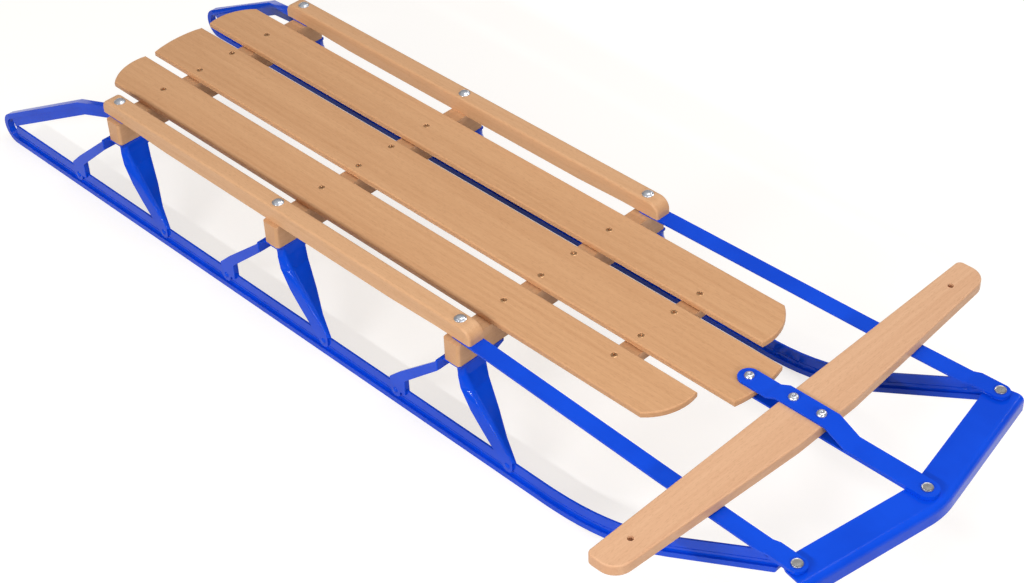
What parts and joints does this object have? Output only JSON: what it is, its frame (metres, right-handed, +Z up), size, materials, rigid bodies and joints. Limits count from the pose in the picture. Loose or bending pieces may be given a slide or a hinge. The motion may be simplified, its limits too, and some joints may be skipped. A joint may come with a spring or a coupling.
{
  "type": "steerable runner sled",
  "caption": "Low steerable snow sled: slatted beech deck and hand rails on benches, pressed steel knees and springy runners bent by a pivoting steering bar at the nose.",
  "frame": {"origin": "on the snow under the middle of the sled: bottom centre of its box", "axes": "+X forward to the steering bar and bumper, +Y to the rider's left, +Z up"},
  "size_m": [1.37, 0.592, 0.161],
  "materials": {
    "beech": "clear satin lacquer over beech",
    "blue_steel": "gloss blue paint on flat and rolled steel",
    "zinc": "bright zinc plate"
  },
  "bodies": {
    "sled": {"slat_centre": "beech", "slat_left": "beech", "slat_right": "beech", "rail_left": "beech", "rail_right": "beech", "bench_rear": "beech", "bench_middle": "beech", "bench_front": "beech", "cleat_front": "beech", "knee_rear_left": "blue_steel", "knee_rear_right": "blue_steel", "knee_middle_left": "blue_steel", "knee_middle_right": "blue_steel", "knee_front_left": "blue_steel", "knee_front_right": "blue_steel", "runner_left": "blue_steel", "runner_right": "blue_steel", "pivot_bolt": "zinc", "rail_bolts": "zinc"},
    "steering": {"steering_bar": "beech", "steering_strap_upper": "blue_steel", "steering_strap_lower": "blue_steel", "bar_bolts": "zinc"},
    "bumper": {"bumper": "blue_steel", "bumper_rivets": "zinc"},
    "strap_left": {"side_strap_left": "blue_steel"},
    "strap_right": {"side_strap_right": "blue_steel"}
  },
  "joints": [
    {"name": "steer", "type": "hinge", "parent": "sled", "child": "steering", "pos_m": [0.439, 0, 0.1435], "axis": [0, 0, 1], "range_deg": [-10, 10], "stiffness_Nm_per_rad": 20},
    {"name": "bumper_swing", "type": "hinge", "parent": "steering", "child": "bumper", "pos_m": [0.6635, 0, 0.1355], "axis": [0, 0, 1], "range_deg": [-12, 12]},
    {"name": "strap_left_swing", "type": "hinge", "parent": "sled", "child": "strap_left", "pos_m": [0.165, 0.148, 0.1355], "axis": [0, 0, 1], "range_deg": [-6, 6], "deforming": ["runner_left"]},
    {"name": "strap_right_swing", "type": "hinge", "parent": "sled", "child": "strap_right", "pos_m": [0.165, -0.148, 0.1355], "axis": [0, 0, 1], "range_deg": [-6, 6], "deforming": ["runner_right"]}
  ],
  "couplings": [
    {"joint": "bumper_swing", "follows": "steer", "ratio": -0.952},
    {"joint": "strap_left_swing", "follows": "steer", "ratio": 0.4779},
    {"joint": "strap_right_swing", "follows": "steer", "ratio": 0.4779}
  ]
}
